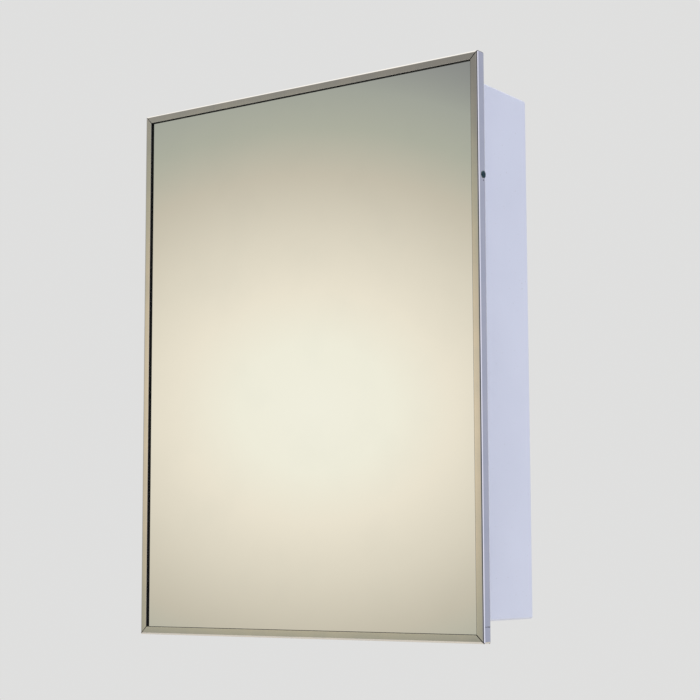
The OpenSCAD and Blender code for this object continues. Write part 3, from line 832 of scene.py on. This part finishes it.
# ---- Frame screws ----
# One blackened pan-head screw in the edge of each upright. It runs through the frame into the
# pan behind the mirror and keeps the pack tight.

oxide, oxide_shader = finish("black_oxide", (0.02, 0.05, 0.05), 0.34, 0.85)
worn = between(oxide, mottle(oxide, 700, 4), 0.52, 0.72)
oxide_tone = blend(oxide, worn, (0.012, 0.045, 0.045), (0.09, 0.14, 0.14))
drive(oxide, oxide_shader, "Base Color",
      blend(oxide, rubbed_edges(oxide, 0.35), oxide_tone, (0.42, 0.43, 0.43)))
drive(oxide, oxide_shader, "Roughness", between(oxide, worn, 0, 1, 0.30, 0.50))
emboss(oxide, oxide_shader, mottle(oxide, 1500, 2), 0.008)

head_h = screw_high.x - door_x
screw_places = [at(side * door_x, screw_y, screw_z, (side, 0, 0)) for side in (-1, 1)]
frame_screw_pair = screws("frame_screw_pair", screw_places,
                          [(0, -4.1), (1.5, -3.8), (1.5, 0), (3.6, 0)]
                          + dome(3.6, head_h, rim=0.45), (2.1, 0.42, 0.9), oxide)
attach(frame_screw_pair, "door")
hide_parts("frame_screws")

# ---- Mirror and bead ----
# A 3 mm float-glass mirror with ground and arrissed edges, silvered and painted grey behind. A
# black vinyl bead lies under the frame's front flange all round and keeps the glass off the steel.

mirror, mirror_shader = finish("mirror_silver", (0.86, 0.88, 0.86), 0.012, 1.0)
haze = between(mirror, mottle(mirror, 16, 5), 0.48, 0.75)
drive(mirror, mirror_shader, "Base Color",
      blend(mirror, haze, (0.87, 0.885, 0.865), (0.85, 0.868, 0.85)))
drive(mirror, mirror_shader, "Roughness", between(mirror, haze, 0, 1, 0.008, 0.03))
emboss(mirror, mirror_shader, mottle(mirror, 5, 1), 0.01)

ground, ground_shader = finish("ground_glass_edge", (0.30, 0.46, 0.40), 0.35)
drive(ground, ground_shader, "Base Color",
      blend(ground, mottle(ground, 300, 3), (0.24, 0.40, 0.34), (0.40, 0.56, 0.50)))
emboss(ground, ground_shader, mottle(ground, 1800, 2), 0.02)

backing, backing_shader = finish("mirror_backing_paint", (0.27, 0.28, 0.29), 0.55)
drive(backing, backing_shader, "Base Color",
      blend(backing, mottle(backing, 120, 4), (0.24, 0.25, 0.26), (0.31, 0.32, 0.33)))
emboss(backing, backing_shader, mottle(backing, 600, 2), 0.03)


def plate(outline, place, first, last):
    """A solid plate: an outline in a plane, taken from one depth to another."""
    mesh = bmesh.new()
    ends = [[mesh.verts.new(place(point.x, point.y, depth)) for point in outline]
            for depth in (first, last)]
    mesh.faces.new(ends[0])
    mesh.faces.new(ends[1][::-1])
    for k in range(len(outline)):
        after = (k + 1) % len(outline)
        mesh.faces.new([ends[0][k], ends[1][k], ends[1][after], ends[0][after]])
    return mesh


def in_door(x, z, y):
    return Vector((x, y, z))


glass_low, glass_high = box_of("mirror_glass")
glass = keep("mirror_plate", plate(rounded(glass_high.x, glass_high.z, 0.8, 2), in_door,
                                   glass_low.y, glass_high.y), 0.5)
for material in (mirror, ground, backing):
    glass.data.materials.append(material)
for polygon in glass.data.polygons:
    facing = polygon.normal.y
    polygon.material_index = 0 if facing < -0.9 else 2 if facing > 0.9 else 1
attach(glass, "door")
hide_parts("mirror_glass")

vinyl, vinyl_shader = finish("black_vinyl_bead", (0.008, 0.008, 0.008), 0.6)
vinyl_shader.inputs["Specular IOR Level"].default_value = 0.08
drive(vinyl, vinyl_shader, "Base Color",
      blend(vinyl, mottle(vinyl, 250, 3), (0.005, 0.005, 0.005), (0.013, 0.013, 0.012)))
drive(vinyl, vinyl_shader, "Roughness",
      between(vinyl, mottle(vinyl, 400, 2), 0.3, 0.7, 0.55, 0.75))
emboss(vinyl, vinyl_shader, mottle(vinyl, 900, 2), 0.01)


def ring_bar(profile, half_x, half_z, place):
    """A closed bar round a rectangle, mitred at its corners; profile is (inset, depth) points."""
    mesh = bmesh.new()
    loops = [[mesh.verts.new(place(x * (half_x - inset), z * (half_z - inset), depth))
              for inset, depth in profile] for x, z in ((1, 1), (-1, 1), (-1, -1), (1, -1))]
    for k in range(4):
        for j in range(len(profile)):
            after = (j + 1) % len(profile)
            mesh.faces.new([loops[k][j], loops[k][after],
                            loops[(k + 1) % 4][after], loops[(k + 1) % 4][j]])
    return mesh


bead_high = box_of("mirror_bead")[1]
bead_edge = frame_bend
bead_lip = 0.35
lip_top = door_face + 0.1
bead_profile = [(bead_edge, bead_high.y), (bead_edge, door_face + frame_t),
                (front_w, door_face + frame_t), (front_w, lip_top + 0.05),
                (front_w + 0.07, lip_top), (front_w + 0.2, lip_top + 0.04),
                (front_w + bead_lip, lip_top + 0.2), (front_w + bead_lip, bead_high.y)]
bead = keep("mirror_bead_vinyl", ring_bar(bead_profile, door_x, door_z, in_door))
bead.data.materials.append(vinyl)
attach(bead, "door")
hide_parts("mirror_bead")

# ---- Board and foam strips ----
# A hardboard sheet lies behind the mirror, and two foam strips between it and the pan press the
# whole pack forward against the bead.

hardboard, hardboard_shader = finish("hardboard", (0.30, 0.19, 0.10), 0.75)
fibres = mottle(hardboard, 350, 5, (1, 1, 0.5))
drive(hardboard, hardboard_shader, "Base Color",
      blend(hardboard, between(hardboard, fibres, 0.3, 0.7), (0.22, 0.13, 0.07),
            (0.40, 0.27, 0.15)))
emboss(hardboard, hardboard_shader, fibres, 0.08)

foam, foam_shader = finish("grey_foam", (0.16, 0.16, 0.165), 0.95)
cells = add(foam, "TexVoronoi", Vector=add(foam, "TexCoord").outputs["Object"],
            Scale=900.0).outputs["Distance"]
drive(foam, foam_shader, "Base Color",
      blend(foam, between(foam, cells, 0.0, 0.6), (0.06, 0.06, 0.065), (0.22, 0.22, 0.23)))
emboss(foam, foam_shader, cells, 0.25)

board_low, board_high = box_of("backing_board")
board = keep("backing_hardboard", plate(rounded(board_high.x, board_high.z, 1.5, 3), in_door,
                                        board_low.y, board_high.y), 0.3)
board.data.materials.append(hardboard)
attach(board, "door")
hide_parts("backing_board")

pad_low, pad_high = box_of("pressure_pads")
pad_w = 18.0
mesh = bmesh.new()
for side in (-1, 1):
    pad_mid = side * (pad_high.x - pad_w / 2)
    outline = rounded(pad_w / 2, pad_high.z, 2.0, 4)
    rings = []
    for y, bulge in ((pad_low.y, -0.5), (pad_low.y + 0.6, -0.1), ((pad_low.y + pad_high.y) / 2, 0),
                     (pad_high.y - 0.6, -0.1), (pad_high.y, -0.5)):
        rings.append([mesh.verts.new((pad_mid + p.x * (1 + bulge / pad_w * 2), y,
                                      p.y * (1 + bulge / pad_high.z))) for p in outline])
    for under, over in zip(rings, rings[1:]):
        band(mesh, under, over)
    mesh.faces.new(rings[0])
    mesh.faces.new(rings[-1])
pads = keep("foam_pressure_strips", mesh)
pads.data.materials.append(foam)
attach(pads, "door")
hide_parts("pressure_pads")

# ---- Door pan ----
# The door's back cover, a shallow enamelled pan whose walls stand round the board and whose floor
# lies under the frame's back flanges. A tall shallow field is pressed into it for stiffness.

pan_t = 0.8
pan_bend = 1.6
pan_low, pan_high = box_of("door_pan")
pan_reach_x = pan_high.x - pan_bend
pan_reach_z = pan_high.z - pan_bend
across = folded([(pan_high.x, pan_low.y), (pan_high.x, pan_high.y), (-pan_high.x, pan_high.y),
                 (-pan_high.x, pan_low.y)], pan_bend, pan_t)
along = folded([(pan_high.z, pan_low.y), (pan_high.z, pan_high.y),
                (pan_reach_z - 1, pan_high.y)], pan_bend, pan_t)[:-1]
fold_points = len(across) // 2
patches = [grid(half, [-pan_reach_z, pan_reach_z], lambda x, y, z: Vector((x, y, z)))
           for half in (across[:fold_points], across[fold_points:])]
for end in (-1, 1):
    patches.append(grid(along, [-pan_reach_x, pan_reach_x],
                        lambda z, y, x: Vector((x, y, end * z))))
pan_field_x = pad_high.x - pad_w - 6
pan_field_z = pan_reach_z - 42
pan_field_r = 16.0
pan_field_depth = 1.2
pan_field_slope = 5.0


def pan_floor(x, z, depth):
    outer = Vector((x, pan_high.y - depth, z))
    return outer, outer - Vector((0, pan_t, 0))


corner_steps = 7
field_rows = [[(side * pan_reach_x, end * pan_reach_z, 0)
               for side, end in ((1, 1), (-1, 1), (-1, -1), (1, -1)) for k in range(corner_steps)]]
for step in range(7):
    share = step / 6
    shrink = pan_field_slope * share
    depth = pan_field_depth * share * share * (3 - 2 * share)
    field_rows.append([(p.x, p.y, depth)
                       for p in rounded(pan_field_x - shrink, pan_field_z - shrink,
                                        pan_field_r - shrink)])
field_flat = [(side * (pan_field_x - pan_field_r), end * (pan_field_z - pan_field_r), pan_field_depth)
              for side, end in ((1, 1), (-1, 1), (-1, -1), (1, -1))]
field_rows.append([corner for corner in field_flat for k in range(corner_steps)])
patches.append([[pan_floor(*point) for point in row + row[:1]] for row in field_rows])
patches.append([[pan_floor(*field_flat[k]) for k in (0, 1)],
                [pan_floor(*field_flat[k]) for k in (3, 2)]])
pan = sheet("door_back_pan", patches)
pan.data.materials.append(enamel)
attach(pan, "door")
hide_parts("door_pan")

# ---- Hinge, moving half ----
# The door's leaf fills the gaps between the fixed knuckles. Eight countersunk cross-recess
# screws hold it to the frame's back flange and the pan.

door_leaf = sheet("hinge_leaf_on_door",
                  leaf(1, lambda u, v, z: Vector((pin_x - u, pin_y - v, z))), 0.1)
door_leaf.data.materials.append(hinge_steel)
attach(door_leaf, "door")
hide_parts("hinge_door_leaf")

leaf_screw_places = [at(pin_x - leaf_hole_u, door_back + leaf_t, z, (0, 1, 0))
                     for z in fastener_zs]
leaf_screws = screws("hinge_leaf_screws", leaf_screw_places,
                     [(0, -4.6), (1.4, -4.4), (1.5, -1), (2.6, 0)] + dome(2.6, 0.3, rim=0.05),
                     (1.5, 0.3, 0.7), zinc)
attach(leaf_screws, "door")
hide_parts("hinge_door_screws")

# ---- Strike plate ----
# A plated steel plate on the door's back, opposite the magnet, held by two flush rivets.

strike_low, strike_high = box_of("strike_plate")
strike_mid = (strike_low + strike_high) / 2
strike = keep("strike_plate_plated",
              plate(rounded((strike_high.x - strike_low.x) / 2, (strike_high.z - strike_low.z) / 2,
                            2.0),
                    lambda x, z, y: Vector((strike_mid.x + x, y, strike_mid.z + z)),
                    strike_low.y, strike_high.y), 0.3)
strike.data.materials.append(zinc)
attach(strike, "door")
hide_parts("strike_plate")

strike_rivet_off = (strike_high.z - strike_low.z) / 2 - 5
mesh = bmesh.new()
for end in (-1, 1):
    turned(mesh, [(0, -3.5), (2.1, -3.5), (2.4, -3.2), (2.4, -2.3), (1.6, -2.3), (1.6, 0)]
           + dome(1.6, 0.12, rim=0.04),
           at(strike_mid.x, strike_high.y, strike_mid.z + end * strike_rivet_off, (0, 1, 0)))
strike_rivets = keep("strike_rivet_pair", mesh)
strike_rivets.data.materials.append(hinge_steel)
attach(strike_rivets, "door")
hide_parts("strike_rivets")

# ---- Glass shelves ----
# Three lift-out shelves of 5 mm float glass with rounded corners and polished edges, which show
# the green that the glass has in its depth.

shelf_glass, shelf_shader = finish("shelf_glass", (0.93, 0.97, 0.95), 0.01)
shelf_shader.inputs["Transmission Weight"].default_value = 1.0
shelf_shader.inputs["IOR"].default_value = 1.52
drive(shelf_glass, shelf_shader, "Roughness",
      between(shelf_glass, mottle(shelf_glass, 25, 4), 0.45, 0.75, 0.005, 0.04))
emboss(shelf_glass, shelf_shader, mottle(shelf_glass, 12, 1), 0.01)

shelf_edge, edge_shader = finish("shelf_glass_edge", (0.42, 0.68, 0.58), 0.06)
edge_shader.inputs["Transmission Weight"].default_value = 0.55
edge_shader.inputs["IOR"].default_value = 1.52
drive(shelf_edge, edge_shader, "Base Color",
      blend(shelf_edge, mottle(shelf_edge, 60, 2), (0.36, 0.63, 0.53), (0.50, 0.75, 0.66)))
emboss(shelf_edge, edge_shader, mottle(shelf_edge, 700, 1, (0.2, 1, 1)), 0.01)

for node_name, body in (("shelf_lower", "lower_shelf"), ("shelf_middle", "middle_shelf"),
                        ("shelf_upper", "upper_shelf")):
    low, high = box_of(node_name)
    middle = (low + high) / 2
    shelf = keep(node_name + "_glass",
                 plate(rounded(high.x, (high.y - low.y) / 2, 4.0, 8),
                       lambda x, y, z: Vector((x, middle.y + y, z)), low.z, high.z), 0.5)
    shelf.data.materials.append(shelf_glass)
    shelf.data.materials.append(shelf_edge)
    for polygon in shelf.data.polygons:
        polygon.material_index = 0 if abs(polygon.normal.z) > 0.9 else 1
    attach(shelf, body)
    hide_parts(node_name)

# ---- Studio ----
# A pale floor well below the wall-hung cabinet, and a soft studio round it: a pale wall in front
# with a warm glow on its left, a cool light wall on the right with a dark flag before it, a
# bright ceiling and one large soft lamp.

floor_z = -1.3
floor_r = 9.0
mesh = bmesh.new()
bmesh.ops.create_circle(mesh, cap_ends=True, segments=96, radius=floor_r)
mesh.transform(Matrix.Translation((0, 0, floor_z)))
floor_data = bpy.data.meshes.new("studio_floor")
mesh.to_mesh(floor_data)
mesh.free()
floor = bpy.data.objects.new("studio_floor", floor_data)
bpy.context.scene.collection.objects.link(floor)
paper, paper_shader = finish("pale_paper", (0.69, 0.665, 0.62), 0.8)
far = add(paper, "VectorMath", {"operation": "LENGTH"},
          Vector=add(paper, "TexCoord").outputs["Object"]).outputs["Value"]
drive(paper, paper_shader, "Alpha", between(paper, far, 4.0, floor_r, 1.0, 0.0))
floor.data.materials.append(paper)

world = bpy.data.worlds.new("studio")
world.use_nodes = True
bpy.context.scene.world = world


def direction_ramp(value, stops, blending="LINEAR"):
    """A colour ramp in the world over a value from 0 to 1."""
    ramp = add(world, "ValToRGB", Fac=value)
    ramp.color_ramp.interpolation = blending
    marks = ramp.color_ramp.elements
    while len(marks) < len(stops):
        marks.new(0.5)
    for mark, (place, colour) in zip(marks, stops):
        mark.position = place
    for mark, (place, colour) in zip(marks, stops):
        mark.color = colour if len(colour) == 4 else (*colour, 1.0)
    return ramp


def bearing(degrees):
    """Where a bearing lies on a full-turn ramp; 0 is straight in front, 90 is to the right."""
    return degrees / 360 + 0.5


way = add(world, "TexCoord").outputs["Generated"]
parts = add(world, "SeparateXYZ", Vector=way).outputs
front = add(world, "Math", {"operation": "MULTIPLY"}, Value=parts["Y"], Value_001=-1.0)
turn = add(world, "Math", {"operation": "ARCTAN2"}, Value=parts["X"],
           Value_001=front.outputs[0]).outputs[0]
around = between(world, turn, -math.pi, math.pi)
rear = (0.60, 0.62, 0.68)
dark = (0.03, 0.03, 0.035)
pale_wall = (0.42, 0.43, 0.45)
light_wall = (0.86, 0.92, 1.225)
walls = direction_ramp(around, [
    (0.0, rear), (bearing(-90), (0.52, 0.53, 0.58)), (bearing(-60), (0.40, 0.41, 0.42)),
    (bearing(-30), (0.26, 0.26, 0.26)), (bearing(-20), (0.30, 0.30, 0.31)),
    (bearing(-8), pale_wall), (bearing(8), pale_wall), (bearing(14), dark), (bearing(52), dark),
    (bearing(61), light_wall), (bearing(128), light_wall), (bearing(140), (0.40, 0.45, 0.68)),
    (bearing(156), (0.44, 0.49, 0.68)), (bearing(170), rear), (1.0, rear)])
level = direction_ramp(between(world, parts["Z"], 0.0, 1.0), [
    (0.0, (0, 0, 0)), (0.42, (0, 0, 0)), (0.72, (1, 1, 1)), (1.0, (1, 1, 1))])
studio = blend(world, level.outputs["Color"], walls.outputs["Color"], (1.25, 1.27, 1.32))

glow_bearing = math.radians(-36.3)
glow_height = math.radians(5.2)
glow_turned = add(world, "Mapping", Vector=way, Rotation=(0, 0, -glow_bearing)).outputs[0]
glow_scale = Vector((1.55, 1.0, 1.86))
glow_centre = Vector((0, -math.cos(glow_height), math.sin(glow_height)))
glow_offset = add(world, "Mapping", Vector=glow_turned, Scale=glow_scale,
                  Location=-Vector(a * b for a, b in zip(glow_scale, glow_centre))).outputs[0]
glow_far = add(world, "VectorMath", {"operation": "LENGTH"}, Vector=glow_offset).outputs["Value"]
glow = direction_ramp(glow_far, [
    (0.0, (1.0, 0.965, 0.84, 1)), (0.07, (0.985, 0.945, 0.81, 1)), (0.127, (0.94, 0.86, 0.72, 1)),
    (0.19, (0.80, 0.73, 0.605, 1)), (0.253, (0.634, 0.576, 0.47, 1)),
    (0.303, (0.477, 0.48, 0.40, 1)), (0.344, (0.41, 0.42, 0.37, 1)),
    (0.42, (0.30, 0.31, 0.30, 0.0))])
lit = blend(world, glow.outputs["Alpha"], studio, glow.outputs["Color"])
seen = blend(world, add(world, "LightPath").outputs["Is Camera Ray"], lit, (0.74, 0.74, 0.735))
background = world.node_tree.nodes["Background"]
world.node_tree.links.new(seen, background.inputs["Color"])
background.inputs["Strength"].default_value = 1.0

lamp_place = (0.5, -2.5, 0.3)
lamp_data = bpy.data.lights.new("soft_lamp", "AREA")
lamp_data.shape = "DISK"
lamp_data.size = 1.6
lamp_data.energy = 22.0
lamp = bpy.data.objects.new("soft_lamp", lamp_data)
lamp.matrix_world = at(*lamp_place, lamp_place)
lamp.visible_camera = False
lamp.visible_glossy = False
lamp.visible_transmission = False
bpy.context.scene.collection.objects.link(lamp)

camera_data = bpy.data.cameras.new("camera")
camera_data.lens = 86.881
camera_data.shift_y = 0.03
camera_data.clip_end = 100.0
camera = bpy.data.objects.new("camera", camera_data)
camera.location = (1.00967, -1.47445, -0.20398)
pitch = math.radians(6.4346)
yaw = math.radians(35.1363)
roll = math.radians(-0.1688)
camera.matrix_world = (Matrix.Translation(camera.location) @ Matrix.Rotation(yaw, 4, "Z")
                       @ Matrix.Rotation(math.pi / 2 + pitch, 4, "X")
                       @ Matrix.Rotation(roll, 4, "Z"))
bpy.context.scene.collection.objects.link(camera)
bpy.context.scene.camera = camera
bpy.context.scene.view_settings.view_transform = "Standard"
